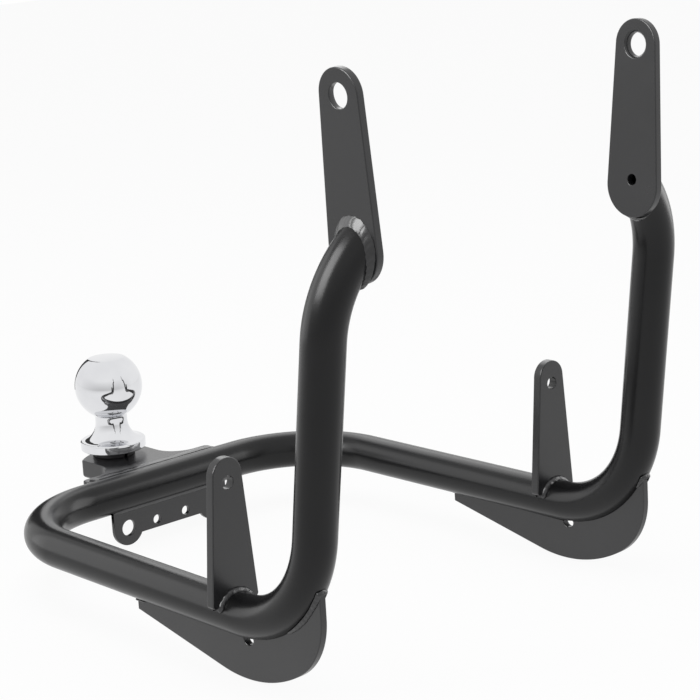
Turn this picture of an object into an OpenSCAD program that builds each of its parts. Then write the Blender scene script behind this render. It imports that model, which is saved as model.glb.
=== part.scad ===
// Motorcycle trailer hitch: a bent round tube carries a ball platform at the back
// and two mounting straps at the front, with tabs, gussets and a safety-chain plate.
// Millimetres. +Z up, +Y towards the ball, X across the motorcycle.
// The origin is the centre of the ball. Right is the motorcycle's right side, -X.
// The drawing is laid out from the plane of the arms' and the cross tube's centre
// lines, with the front bends' corners at Y = 0, and at_home() brings it into place.

/* [Main tube] */
// Outside diameter of the tube
tube_d = 25.4; // [19:0.1:32]
// Wall of the tube
tube_wall = 2.4; // [1.6:0.1:4]
// Centre-line radius of every bend
bend_r = 69; // [55:1:80]
// How much slimmer the tube is drawn in its bends, in diameter
bend_loss = 0.1; // [0.04:0.02:0.4]
// Distance from the front bends to the cross tube, between centre lines
arm_len = 311; // [260:1:380]
// Distance between the arms' centre lines at the front bends
front_span = 274; // [230:1:320]
// Distance between the arms' centre lines at the cross tube
rear_span = 265; // [225:1:315]
// Forward lean of the uprights
upright_lean = 7.7; // [0:0.1:15]
// Inward lean of the uprights
upright_toe = 0.8; // [0:0.1:4]
// Length of each upright, from the arm's centre line to the top bend
upright_len = 174.1; // [140:1:240]
// Angle of the top bend, where the tube ends at the strap
top_bend = 43.7; // [30:1:55]

/* [Strap plates] */
// Thickness of the strap plates
strap_t = 4.9; // [3:0.1:10]
// Radius of the strap's rounded top
strap_top_r = 15.2; // [13:0.1:22]
// Radius of the strap's rounded foot
strap_foot_r = 19.3; // [18.5:0.1:26]
// Distance from the foot's centre to the mounting hole
strap_pitch = 83.5; // [60:0.1:120]
// Outward tilt of the straps towards the top
strap_tilt = 3.6; // [0:0.1:8]
// Forward rake of the straps towards the top
strap_rake = 0.8; // [0:0.1:4]
// How far the foot's centre stands behind the tube's centre line
strap_back = 1.2; // [0:0.1:3]
// Diameter of the mounting hole
strap_hole_d = 14.1; // [8:0.1:18]
// Chamfer of the mounting hole on the strap's inner face
strap_chamfer = 1.4; // [0.4:0.1:2]
// Diameter of the drain hole into the tube
drain_d = 6.7; // [3:0.1:9]
// Height of the drain hole above the foot's centre
drain_up = 3.5; // [0:0.1:6]
// Height of the weld at the strap
strap_weld = 3; // [1.5:0.1:4]

/* [Tabs] */
// Thickness of the tabs
tab_t = 6; // [4:0.1:8]
// Distance from the front bends' corner to the tabs' front face
tab_set = 65.7; // [62:0.1:200]
// Height of the tabs above the arm's centre line
tab_h = 93; // [60:0.5:140]
// Radius of the tab's rounded top
tab_top_r = 10.8; // [8:0.1:14]
// Width of the tab at its foot
tab_foot_w = 34.6; // [30:0.1:44]
// Height of the tab's feet above the arm's centre line
tab_foot_h = 5.5; // [3:0.1:9]
// Corner radius of the feet
tab_foot_r = 2; // [0.5:0.1:2.4]
// Distance from the tab's top to its hole
tab_hole_drop = 14.8; // [9:0.1:24]
// Diameter of the tab's hole
tab_hole_d = 8; // [4:0.1:11]
// Radius of the weld bead along the tab's saddle
tab_bead = 2.2; // [1:0.1:3]

/* [Gussets] */
// Thickness of the gussets
gusset_t = 4.6; // [3:0.1:8]
// Distance from the front bends' corner to the gusset's rear end
gusset_reach = 159; // [120:1:200]
// Depth of the gusset below the arm's centre line
gusset_depth = 38.5; // [32:0.5:50]
// How far the gusset's nose stands in front of the front bends' corner
gusset_nose = 11.3; // [8:0.1:16]
// Radius of the nose
nose_r = 44; // [36:1:50]
// Height of the nose's centre above the arm's centre line
nose_h = 13; // [8:0.5:18]
// Height of the gusset's upper end above the arm's centre line
gusset_top = 29; // [24:0.5:32]
// Radius of the belly
belly_r = 95; // [80:1:120]
// Slope of the long lower edge
edge_slope = 12.3; // [8:0.1:15]
// Diameter of the drain notch under the tube
notch_d = 8.7; // [4:0.1:12]
// Distance from the front bends' corner to the drain notch
notch_set = 54; // [40:0.5:90]
// Height of the stitch welds at the gusset's ends
stitch = 2; // [1:0.1:3]
// Length of each stitch weld
stitch_len = 9; // [4:0.5:16]

/* [Ball platform] */
// Thickness of the ball platform
tongue_t = 12.7; // [8:0.1:16]
// Height of its top face above the cross tube's centre line
tongue_top = 10; // [3:0.1:11]
// Width of the flat bar that carries the ball
tongue_w = 50.8; // [40:0.1:60]
// Distance from the ball's axis to the middle of the bar's end
tongue_end = 14.6; // [13:0.1:30]
// Radius of the bar's end, seen from above
tongue_end_r = 36; // [32:0.5:60]
// Distance from the cross tube's centre line to the ball's axis
ball_set = 55; // [48:0.5:80]
// Width of the root that lies along the cross tube
root_w = 110; // [104:1:128]
// Distance from the cross tube's centre line to the root's rear edge
root_set = 19; // [16:0.1:24]
// Corner radius of the root
root_r = 4; // [1:0.5:6]
// Radius of the hollow corners between the root and the bar
web_r = 18; // [6:0.5:20]
// Radius of the weld bead along the platform
tongue_bead = 3.4; // [1.5:0.1:4]
// Distance of that bead's ends from the root's ends
tongue_bead_end = 0.5; // [0.5:0.1:3]

/* [Safety-chain plate] */
// Thickness of the chain plate
chain_t = 3.2; // [2.5:0.1:6]
// Distance of the plate's front face ahead of the cross tube's centre line
chain_ahead = 7.5; // [5:0.1:8]
// Distance between the two chain holes
chain_span = 73.8; // [60:0.1:100]
// Radius of the lobes round the chain holes
lobe_r = 12.2; // [10:0.1:18]
// Depth of the holes' centres below the cross tube's centre line
chain_drop = 23.4; // [21:0.1:32]
// Diameter of the chain holes
chain_hole_d = 11.1; // [8:0.1:16]
// Depth of the straight lower edge between the lobes
chain_edge = 29.1; // [27.5:0.1:32]
// Distance between the two wiring holes
wire_span = 25; // [16:0.1:40]
// Diameter of the wiring holes
wire_hole_d = 6.35; // [4:0.05:7]
// Radius of the weld bead along the chain plate
chain_bead = 2; // [1:0.1:3]

/* [Ball] */
// Diameter of the ball
ball_d = 47.6; // [40:0.1:60]
// Diameter of the flat on top of the ball
flat_d = 25; // [10:0.5:30]
// Height of the ball's centre above its flange's lower face
ball_h = 45.4; // [42:0.1:60]
// Diameter of the neck
neck_d = 22.6; // [18:0.1:30]
// Diameter of the flange
flange_d = 46; // [38:0.1:56]
// Thickness of the flange's rim
flange_t = 6.4; // [4:0.1:10]
// Radius of the cove between the neck and the flange
cove_r = 10; // [6:0.5:10.5]
// Diameter of the threaded shank
shank_d = 19; // [14:0.5:24]
// Length of the shank below the flange
shank_len = 38; // [34:0.5:46]
// Chamfer at the shank's end
shank_chamfer = 1.5; // [0.5:0.1:3]
// Clearance of the shank in its hole, in diameter
shank_gap = 0.8; // [0.4:0.1:2]

/* [Lock washer and nut] */
// Outside diameter of the lock washer
washer_d = 30; // [26:0.1:36]
// Height of the lock washer
washer_t = 4.8; // [3:0.1:9]
// Gap in the lock washer
split_gap = 1.6; // [0.8:0.1:3]
// Slant of that gap
split_slant = 25; // [0:1:40]
// Width of the nut across its flats
nut_flats = 28.6; // [24:0.1:36]
// Height of the nut
nut_h = 16.3; // [10:0.1:19]
// Chamfer of the nut's corners
nut_chamfer = 1.6; // [0.5:0.1:3]

/* [Hidden] */
$fn = 96;
tube_r = tube_d / 2;
bore_d = tube_d - 2 * tube_wall;
past = 1;
over_turn = 5;
over_bend = 16;

// Bends and straights of one side, in order from the middle of the cross tube
arm_toe = atan((front_span - rear_span) / 2 / arm_len);
rear_turn = 90 - arm_toe;
front_turn = 90 - upright_lean;
rear_tan = bend_r * tan(rear_turn / 2);
front_tan = bend_r * tan(front_turn / 2);
cross_run = rear_span / 2 - rear_tan;
arm_run = arm_len / cos(arm_toe) - rear_tan - front_tan;
upright_run = upright_len - front_tan;

// Directions of the right side's arm and upright, and where its tube meets the strap
front_pt = [-front_span / 2, 0, 0];
arm_dir = [-sin(arm_toe), -cos(arm_toe), 0];
rise_dir = sin(upright_toe) * [cos(arm_toe), -sin(arm_toe), 0] + cos(upright_toe) * [0, 0, 1];
up_dir = cos(front_turn) * arm_dir + sin(front_turn) * rise_dir;
in_dir = cross(rise_dir, arm_dir);
foot_pt = front_pt + (upright_len + bend_r * sin(top_bend)) * up_dir
          + bend_r * (1 - cos(top_bend)) * in_dir;

// Straps: slope of the edges that touch the top and the foot
strap_lean = asin((strap_foot_r - strap_top_r) / strap_pitch);

// Tabs: where the arm passes, and the slope of the edges
tab_x = -front_span / 2 + tan(arm_toe) * (tab_set + tab_t / 2);
tab_cz = tab_h - tab_top_r;
tab_lean = side_slope(tab_cz - tab_foot_h, tab_foot_w / 2, tab_top_r);

// Gussets: under the arm where it passes over the drain notch
gusset_x = -front_span / 2 + tan(arm_toe) * notch_set;
nose_y = nose_r - gusset_nose;
belly_z = belly_r - gusset_depth;
belly_y = nose_y + sqrt(pow(belly_r - nose_r, 2) - pow(belly_z - nose_h, 2));
belly_turn = atan2(belly_y - nose_y, belly_z - nose_h);
edge_y = belly_y + belly_r * sin(edge_slope);
edge_z = belly_z - belly_r * cos(edge_slope);
tip_z = edge_z + (gusset_reach - edge_y) * tan(edge_slope);

// Ball platform and what stands on it
ball_y = arm_len + ball_set;
root_y = arm_len + root_set;
flange_z = tongue_top + washer_t;
ball_z = flange_z + ball_h;
tongue_low = tongue_top - tongue_t;
hole_d = shank_d + shank_gap;

// Chain plate
chain_y = arm_len - chain_ahead;

// Angle from the vertical of a line that starts at half width w and touches a
// circle of radius r at height h above it
function side_slope(h, w, r) = atan2(w, h) - asin(r / norm([w, h]));

// Moves the drawing so that the centre of the ball is the origin
module at_home() {
  translate([0, -ball_y, -ball_z]) children();
}

// The tube is laid like a bend table. In each frame it runs along +Z and the next
// bend turns towards +X.
module past_bend(turn) {
  translate([bend_r, 0, 0])
    rotate([0, turn, 0])
      translate([-bend_r, 0, 0])
        children();
}

module bend_bar(turn, d) {
  translate([bend_r, 0, 0])
    rotate([90, 0, 180])
      rotate_extrude(angle = turn)
        translate([bend_r, 0])
          circle(d = d - bend_loss);
}

// A bend cut square in the next straight's own frame, so that the two meet face to face
module square_bend(turn, d) {
  difference() {
    bend_bar(turn + over_turn, d);
    past_bend(turn) translate([-d, -d, 0]) cube([2 * d, 2 * d, d]);
  }
}

module at_cross() {
  translate([0, arm_len, 0]) rotate([90, 0, -90]) children();
}

module at_rear_bend() {
  at_cross() translate([0, 0, cross_run]) children();
}

module at_arm() {
  at_rear_bend() past_bend(rear_turn) children();
}

module at_front_bend() {
  at_arm() translate([0, 0, arm_run]) rotate([0, 0, 90 - upright_toe]) children();
}

module at_upright() {
  at_front_bend() past_bend(front_turn) children();
}

module at_top_bend() {
  at_upright() translate([0, 0, upright_run]) rotate([0, 0, -90]) children();
}

// Half of the cross tube and the rear bend, as a solid bar
module rear_bar(d) {
  at_cross() cylinder(h = cross_run, d = d);
  at_rear_bend() square_bend(rear_turn, d);
}

// The arm, the front bend and the upright, as a solid bar
module front_bar(d) {
  at_arm() cylinder(h = arm_run, d = d);
  at_front_bend() square_bend(front_turn, d);
  at_upright() cylinder(h = upright_run, d = d);
}

// The top bend as a solid bar, a little longer than the tube
module top_bar(d) {
  at_top_bend() bend_bar(top_bend + over_bend, d);
}

// One side of the tube as a solid bar
module side_bar(d) {
  rear_bar(d);
  front_bar(d);
  top_bar(d);
}

// The cross tube and both rear bends as a solid bar
module back_bar(d) {
  rear_bar(d);
  mirror([1, 0, 0]) rear_bar(d);
}

// Places a drawing on the strap's outer face: its plane is across, up the strap
// is +Z, and +X goes into the strap
module at_strap() {
  translate(foot_pt)
    rotate([0, -strap_tilt, 0])
      translate([0, strap_back, 0])
        rotate([strap_rake, 0, 0])
          children();
}

// Stands a flat drawing up so that its first axis is Y, its second is Z and it is
// extruded along +X
module on_side(x, t) {
  translate([x, 0, 0]) rotate([90, 0, 90]) linear_extrude(t) children();
}

// Stands a flat drawing up so that its first axis is X, its second is Z and it is
// extruded along +Y
module on_front(y, t) {
  translate([0, y + t, 0]) rotate([90, 0, 0]) linear_extrude(t) children();
}

// The room on the far side of the strap's outer face, where the tube is cut off
module behind_strap() {
  at_strap() translate([0, -tube_d, -2 * tube_d]) cube([2 * tube_d, 2 * tube_d, 4 * tube_d]);
}

module main_tube() {
  color("#1b1b1d")
    at_home()
      difference() {
        union() {
          side_bar(tube_d);
          mirror([1, 0, 0]) side_bar(tube_d);
        }
        side_bar(bore_d);
        mirror([1, 0, 0]) side_bar(bore_d);
        behind_strap();
        mirror([1, 0, 0]) behind_strap();
      }
}

// Outline of a strap: foot at the origin, hole above it
module strap_outline() {
  c = cos(strap_lean);
  s = sin(strap_lean);
  difference() {
    union() {
      circle(r = strap_foot_r);
      translate([0, strap_pitch]) circle(r = strap_top_r);
      polygon([[strap_foot_r * c, strap_foot_r * s],
               [strap_top_r * c, strap_pitch + strap_top_r * s],
               [-strap_top_r * c, strap_pitch + strap_top_r * s],
               [-strap_foot_r * c, strap_foot_r * s]]);
    }
    translate([0, strap_pitch]) circle(d = strap_hole_d);
    translate([0, drain_up]) circle(d = drain_d);
  }
}

module strap_plate_right() {
  cone = strap_chamfer + past;
  color("#202022")
    at_home()
      at_strap()
        difference() {
          on_side(0, strap_t) strap_outline();
          translate([strap_t - strap_chamfer, 0, strap_pitch])
            rotate([0, 90, 0])
              cylinder(h = cone, d1 = strap_hole_d, d2 = strap_hole_d + 2 * cone);
        }
}

module strap_plate_left() {
  color("#202022")
    mirror([1, 0, 0]) strap_plate_right();
}

// Outline of a tab: X measured from the arm's centre line
module tab_outline() {
  c = cos(tab_lean);
  s = sin(tab_lean);
  w = tab_foot_w / 2;
  r = tab_foot_r;
  k = w - r * tan(tab_lean) - r;
  difference() {
    union() {
      translate([0, tab_cz]) circle(r = tab_top_r);
      for (m = [0, 1])
        mirror([m, 0]) {
          polygon([[0, tab_foot_h], [k, tab_foot_h], [k + r * c, tab_foot_h + r + r * s],
                   [tab_top_r * c, tab_cz + tab_top_r * s], [0, tab_cz + tab_top_r * s]]);
          translate([k, tab_foot_h + r]) circle(r = r);
        }
    }
    translate([0, tab_h - tab_hole_drop]) circle(d = tab_hole_d);
  }
}

module tab_blank() {
  translate([tab_x, 0, 0]) on_front(tab_set, tab_t) tab_outline();
}

module tab_right() {
  color("#222224")
    at_home()
      difference() {
        tab_blank();
        front_bar(tube_d);
      }
}

module tab_left() {
  color("#222224")
    mirror([1, 0, 0]) tab_right();
}

// Outline of a gusset: first axis Y, second axis Z
module gusset_outline() {
  difference() {
    union() {
      translate([nose_y, nose_h])
        intersection() {
          circle(r = nose_r);
          translate([-nose_r, -nose_r]) square(nose_r);
        }
      translate([belly_y, belly_z])
        intersection() {
          circle(r = belly_r);
          polygon([[-belly_z * tan(belly_turn), -belly_z],
                   [-belly_r * tan(belly_turn), -belly_r],
                   [belly_r * tan(edge_slope), -belly_r],
                   [belly_z * tan(edge_slope), -belly_z]]);
        }
      polygon([[belly_y, 0], [belly_y, edge_z], [edge_y, edge_z],
               [gusset_reach, tip_z], [gusset_reach, 0]]);
      polygon([[front_tan, 0], [gusset_top_y(), gusset_top],
               [-gusset_nose, gusset_top], [-gusset_nose, nose_h], [nose_y, 0]]);
    }
    translate([notch_set, -tube_r]) circle(d = notch_d);
  }
}

// Where the centre line of the front bend passes at the gusset's upper end
function gusset_top_y() = front_tan - sqrt(pow(bend_r, 2) - pow(bend_r - gusset_top, 2));

module gusset_blank() {
  on_side(gusset_x - gusset_t / 2, gusset_t) gusset_outline();
}

module gusset_right() {
  color("#1f1f21")
    at_home()
      difference() {
        gusset_blank();
        front_bar(tube_d);
      }
}

module gusset_left() {
  color("#1f1f21")
    mirror([1, 0, 0]) gusset_right();
}

// Outline of the ball platform: first axis X, second axis Y
module tongue_outline() {
  side_x = tongue_w / 2;
  difference() {
    union() {
      translate([-side_x, arm_len]) square([tongue_w, ball_set]);
      intersection() {
        translate([-side_x, arm_len]) square([tongue_w, ball_set + tongue_end]);
        translate([0, ball_y + tongue_end - tongue_end_r]) circle(r = tongue_end_r);
      }
      translate([-root_w / 2, arm_len])
        square([root_w, root_set - root_r]);
      translate([-root_w / 2 + root_r, arm_len])
        square([root_w - 2 * root_r, root_set]);
      for (m = [-1, 1])
        translate([m * (root_w / 2 - root_r), root_y - root_r]) circle(r = root_r);
      translate([-side_x - web_r, arm_len])
        square([2 * (side_x + web_r), root_set + web_r]);
    }
    for (m = [-1, 1])
      translate([m * (side_x + web_r), root_y + web_r]) circle(r = web_r);
    translate([0, ball_y]) circle(d = hole_d);
  }
}

module tongue_plate() {
  color("#262628")
    at_home()
      difference() {
        translate([0, 0, tongue_low]) linear_extrude(tongue_t) tongue_outline();
        back_bar(tube_d);
      }
}

// Outline of the chain plate: first axis X, second axis Z
module chain_outline() {
  difference() {
    union() {
      for (m = [-1, 1])
        translate([m * chain_span / 2, -chain_drop]) {
          circle(r = lobe_r);
          translate([-lobe_r, 0]) square([2 * lobe_r, chain_drop]);
        }
      translate([-chain_span / 2, -chain_edge]) square([chain_span, chain_edge]);
    }
    for (m = [-1, 1]) {
      translate([m * chain_span / 2, -chain_drop]) circle(d = chain_hole_d);
      translate([m * wire_span / 2, -chain_drop]) circle(d = wire_hole_d);
    }
  }
}

module chain_plate() {
  color("#1f1f21")
    at_home()
      difference() {
        on_front(chain_y, chain_t) chain_outline();
        back_bar(tube_d);
      }
}

// The ball with its neck, flange and shank in one piece
module hitch_ball() {
  flat_h = sqrt(pow(ball_d, 2) - pow(flat_d, 2)) / 2;
  cove_z = flange_z + flange_t;
  shank_z = flange_z - shank_len;
  color("#d8dadd")
    at_home()
      translate([0, ball_y, 0]) {
        translate([0, 0, ball_z])
          intersection() {
            sphere(d = ball_d);
            translate([0, 0, flat_h - ball_d]) cylinder(h = ball_d, d = ball_d + past);
          }
        translate([0, 0, cove_z]) cylinder(h = ball_z - cove_z, d = neck_d);
        translate([0, 0, flange_z]) cylinder(h = flange_t, d = flange_d);
        translate([0, 0, cove_z])
          rotate_extrude()
            difference() {
              square([neck_d / 2 + cove_r, cove_r]);
              translate([neck_d / 2 + cove_r, cove_r]) circle(r = cove_r);
            }
        translate([0, 0, shank_z + shank_chamfer])
          cylinder(h = shank_len - shank_chamfer, d = shank_d);
        translate([0, 0, shank_z])
          cylinder(h = shank_chamfer, d1 = shank_d - 2 * shank_chamfer, d2 = shank_d);
      }
}

// A split spring ring between the flange and the platform
module lock_washer() {
  color("#3a3a3d")
    at_home()
      translate([0, ball_y, tongue_top])
        difference() {
          cylinder(h = washer_t, d = washer_d);
          translate([0, 0, -past]) cylinder(h = washer_t + 2 * past, d = hole_d);
          translate([0, -washer_d / 2, washer_t / 2])
            rotate([0, split_slant, 0])
              cube([split_gap, washer_d - hole_d + past, 3 * washer_t], center = true);
        }
}

module shank_nut() {
  nut_d = nut_flats / cos(30);
  end_d = nut_d - 2 * nut_chamfer;
  color("#8d8f92")
    at_home()
      translate([0, ball_y, tongue_low - nut_h])
        difference() {
          intersection() {
            cylinder(h = nut_h, d = nut_d, $fn = 6);
            cylinder(h = nut_h, d1 = end_d, d2 = end_d + 2 * nut_h);
            cylinder(h = nut_h, d1 = end_d + 2 * nut_h, d2 = end_d);
          }
          translate([0, 0, -past]) cylinder(h = nut_h + 2 * past, d = shank_d);
        }
}

// A collar of weld round the tube where it meets the strap
module strap_weld_right() {
  color("#2a2a2d")
    at_home()
      difference() {
        intersection() {
          top_bar(tube_d + 2 * strap_weld);
          at_strap()
            on_side(-strap_weld, strap_weld) circle(r = strap_foot_r + strap_weld / 2);
        }
        top_bar(tube_d);
        front_bar(tube_d);
      }
}

module strap_weld_left() {
  color("#2a2a2d")
    mirror([1, 0, 0]) strap_weld_right();
}

// Half rings of weld along the tab's saddle, in front of it and behind it
module tab_weld_right() {
  color("#2c2c2f")
    at_home()
      difference() {
        translate([tab_x, 0, 0])
          for (y = [tab_set, tab_set + tab_t])
            translate([0, y, 0])
              rotate([90, 0, 0])
                rotate_extrude(angle = 180)
                  translate([tube_r, 0]) circle(r = tab_bead);
        front_bar(tube_d);
        tab_blank();
      }
}

module tab_weld_left() {
  color("#2c2c2f")
    mirror([1, 0, 0]) tab_weld_right();
}

// Stitch welds at both ends of the gusset
module gusset_weld_right() {
  w = gusset_t + 2 * stitch;
  color("#2a2a2d")
    at_home()
      difference() {
        intersection() {
          front_bar(tube_d + 2 * stitch);
          union() {
            translate([gusset_x - w / 2, gusset_reach - stitch_len, -tube_d])
              cube([w, stitch_len + stitch, tube_d]);
            translate([gusset_x - w / 2, -tube_d - gusset_nose, gusset_top - stitch_len])
              cube([w, tube_d + gusset_nose + gusset_top_y(), stitch_len + stitch]);
          }
        }
        front_bar(tube_d);
        gusset_blank();
      }
}

module gusset_weld_left() {
  color("#2a2a2d")
    mirror([1, 0, 0]) gusset_weld_right();
}

// Beads above and below the platform, along the cross tube
module tongue_weld() {
  len = root_w - 2 * tongue_bead_end;
  color("#2a2a2d")
    at_home()
      difference() {
        for (z = [tongue_top, tongue_low])
          translate([-len / 2, arm_len + sqrt(pow(tube_r, 2) - pow(z, 2)), z])
            rotate([0, 90, 0]) cylinder(h = len, r = tongue_bead);
        back_bar(tube_d);
        translate([-len / 2 - past, arm_len, tongue_low])
          cube([len + 2 * past, root_set, tongue_t]);
      }
}

// Beads in front of and behind the chain plate, along the cross tube
module chain_plate_weld() {
  len = chain_span + 2 * lobe_r;
  color("#2a2a2d")
    at_home()
      difference() {
        for (y = [chain_ahead, chain_ahead - chain_t])
          translate([-len / 2, arm_len - y, -sqrt(pow(tube_r, 2) - pow(y, 2))])
            rotate([0, 90, 0]) cylinder(h = len, r = chain_bead);
        back_bar(tube_d);
        translate([-len / 2 - past, chain_y, -chain_drop])
          cube([len + 2 * past, chain_t, chain_drop]);
      }
}

main_tube();
strap_plate_right();
strap_plate_left();
tab_right();
tab_left();
gusset_right();
gusset_left();
tongue_plate();
chain_plate();
hitch_ball();
lock_washer();
shank_nut();
strap_weld_right();
strap_weld_left();
tab_weld_right();
tab_weld_left();
gusset_weld_right();
gusset_weld_left();
tongue_weld();
chain_plate_weld();
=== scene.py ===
# %% [markdown]
# # A motorcycle trailer hitch
#
# The real object is a tube bent into a frame, with plates welded to it and a
# chromed ball on a platform. Everything but the ball, its spring ring and its nut
# is powder coated in satin black. The CAD frame holds the pieces as plain solids.
# Here every piece is worked out again as a smooth surface in the same place, with
# rounded edges, weld beads and a screw thread, and it is given its finish.

import bmesh
import bpy
import numpy as np
from mathutils import Matrix, Vector
from mathutils.geometry import delaunay_2d_cdt


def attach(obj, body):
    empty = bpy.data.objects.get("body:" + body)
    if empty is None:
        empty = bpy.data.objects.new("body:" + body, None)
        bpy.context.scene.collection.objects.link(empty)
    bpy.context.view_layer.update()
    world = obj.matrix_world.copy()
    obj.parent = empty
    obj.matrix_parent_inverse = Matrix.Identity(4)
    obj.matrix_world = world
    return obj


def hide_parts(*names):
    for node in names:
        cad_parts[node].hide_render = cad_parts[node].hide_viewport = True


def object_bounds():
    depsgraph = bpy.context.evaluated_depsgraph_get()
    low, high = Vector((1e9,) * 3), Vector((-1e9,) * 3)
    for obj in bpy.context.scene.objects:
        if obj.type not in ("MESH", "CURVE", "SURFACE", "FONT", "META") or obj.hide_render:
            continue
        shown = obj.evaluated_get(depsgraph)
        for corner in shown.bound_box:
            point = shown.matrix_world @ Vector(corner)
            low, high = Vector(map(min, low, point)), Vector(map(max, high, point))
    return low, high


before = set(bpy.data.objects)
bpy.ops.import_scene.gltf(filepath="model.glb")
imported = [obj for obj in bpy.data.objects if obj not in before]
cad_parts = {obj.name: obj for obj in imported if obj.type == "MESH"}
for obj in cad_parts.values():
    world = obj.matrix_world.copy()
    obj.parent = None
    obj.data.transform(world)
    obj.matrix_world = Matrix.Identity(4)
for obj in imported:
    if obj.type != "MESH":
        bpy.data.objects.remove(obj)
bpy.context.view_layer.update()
MM = 0.001
print("nodes in the frame:", len(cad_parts))

# %% [markdown]
# ## The sizes
#
# The main sizes are the ones that the CAD source has, in millimetres, in its drawing
# layout: the centre lines of the arms lie in the plane Z = 0 and the front bends'
# corners at Y = 0. The ball's centre is the origin of the finished part, so each
# piece is moved by `HOME` when it is made.

# %% Sizes from the drawing
TUBE_R, WALL, BEND_R = 12.7, 2.4, 69.0
ARM_LEN, FRONT_SPAN, REAR_SPAN = 311.0, 274.0, 265.0
LEAN, TOE, TOP_BEND = np.radians([7.7, 0.8, 43.7])
UPRIGHT_LEN = 174.1
STRAP_T, STRAP_TOP_R, STRAP_FOOT_R, STRAP_PITCH = 4.9, 15.2, 19.3, 83.5
STRAP_TILT, STRAP_RAKE, STRAP_BACK = np.radians(3.6), np.radians(0.8), 1.2
BALL_SET, BALL_H, WASHER_T, TONGUE_TOP, TONGUE_T = 55.0, 45.4, 4.8, 10.0, 12.7
BALL_Y = ARM_LEN + BALL_SET
FLANGE_Z = TONGUE_TOP + WASHER_T
HOME = np.array([0.0, -BALL_Y, -(FLANGE_Z + BALL_H)])
print("the drawing moves by", HOME)

# %% [markdown]
# ## Shader maths as expressions
#
# A wrapped socket lets a material be written as a formula. Each operator adds one
# Math node. Any other node comes from `node`, which sets the settings first.

# %% The wrapped socket
class Wire:
    """A socket in a material's tree, with arithmetic."""

    def __init__(self, tree, socket):
        self.tree, self.socket = tree, socket

    def math(self, operation, *others):
        """The result of one Math node on this value and the others."""
        made = self.tree.nodes.new("ShaderNodeMath")
        made.operation = operation
        for slot, value in zip(made.inputs, (self, *others)):
            plug(self.tree, slot, value)
        return Wire(self.tree, made.outputs[0])

    def __add__(self, other):
        return self.math("ADD", other)

    def __radd__(self, other):
        return self.math("ADD", other)

    def __mul__(self, other):
        return self.math("MULTIPLY", other)

    def __rmul__(self, other):
        return self.math("MULTIPLY", other)

    def __sub__(self, other):
        return self.math("SUBTRACT", other)

    def __rsub__(self, other):
        return self.math("MULTIPLY", -1.0) + other

    def __truediv__(self, other):
        return self.math("DIVIDE", other)

    def between(self, low, high):
        """0 below low, 1 above high and straight in between."""
        made = node(self.tree, "ShaderNodeMapRange", {"clamp": True},
                    {0: self, 1: low, 2: high, 3: 0.0, 4: 1.0})
        return made.out(0)


def plug(tree, slot, value):
    """Links a wire to an input, or sets the input's own value."""
    if isinstance(value, Wire):
        tree.links.new(value.socket, slot)
    else:
        slot.default_value = value


class Made:
    """A node, with its outputs as wires."""

    def __init__(self, tree, made):
        self.tree, self.made = tree, made

    def out(self, key):
        """One output, by its name or its number."""
        return Wire(self.tree, self.made.outputs[key])


def node(tree, kind, settings, sockets):
    """A new node: its settings are set first, then its inputs."""
    made = tree.nodes.new(kind)
    for key, value in settings.items():
        setattr(made, key, value)
    for key, value in sockets.items():
        plug(tree, made.inputs[key], value)
    return Made(tree, made)


def blend_colour(tree, factor, first, second):
    """first where factor is 0, second where it is 1."""
    made = node(tree, "ShaderNodeMix", {"data_type": "RGBA"}, {0: factor})
    colours = [slot for slot in made.made.inputs if slot.type == "RGBA"]
    for slot, value in zip(colours, (first, second)):
        plug(tree, slot, value)
    return Wire(tree, [slot for slot in made.made.outputs if slot.type == "RGBA"][0])


def new_material(name):
    """A material, its tree, its shader and the point on the piece, in metres."""
    material = bpy.data.materials.new(name)
    material.use_nodes = True
    tree = material.node_tree
    shader = tree.nodes["Principled BSDF"]
    place = node(tree, "ShaderNodeTexCoord", {}, {}).out("Object")
    return material, tree, shader, place


def noise(tree, place, size_mm, detail=2.0, roughness=0.5):
    """Cloudy values from 0 to 1, whose patches are about size_mm across."""
    made = node(tree, "ShaderNodeTexNoise", {},
                {"Vector": place, "Scale": 1000.0 / size_mm, "Detail": detail,
                 "Roughness": roughness})
    return made.out(0)


def bump(tree, height, depth_mm, below=None):
    """Turns a height from 0 to 1 into a bump that is depth_mm deep."""
    sockets = {"Height": height, "Strength": 1.0, "Distance": depth_mm * MM}
    if below is not None:
        sockets["Normal"] = below
    return node(tree, "ShaderNodeBump", {}, sockets).out("Normal")


print("+, -, * and / on a wrapped socket now add Math nodes")

# %% [markdown]
# ## Powder coat
#
# Powder is sprayed on dry and melts in an oven. It flows, so the coat is smooth and
# satin, but it never levels fully and leaves a fine orange peel about a millimetre
# across. It thins over sharp edges and dulls a little where hands have been. The
# same recipe serves the tube, the plates and the welds. The rolled tube is smoother
# and reflects less than sheet and weld metal, so the recipe takes the peel's depth,
# the gloss and the refraction. It also takes a painted lightness: the tube's coat is
# darkened as painted shade, and the welds' coat is paled a little as painted light.

# %% The powder coat recipe
COAT_BLACK, COAT_GREY = (0.0135, 0.0135, 0.0145), (0.021, 0.021, 0.0225)
CLOUD_SIZE, HAND_SIZE, PEEL_SIZE, FINE_SIZE, GRAIN_SIZE = 60.0, 11.0, 1.3, 0.45, 2.6
HAND_GLOSS, FINE_GLOSS = 0.10, 0.05


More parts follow.
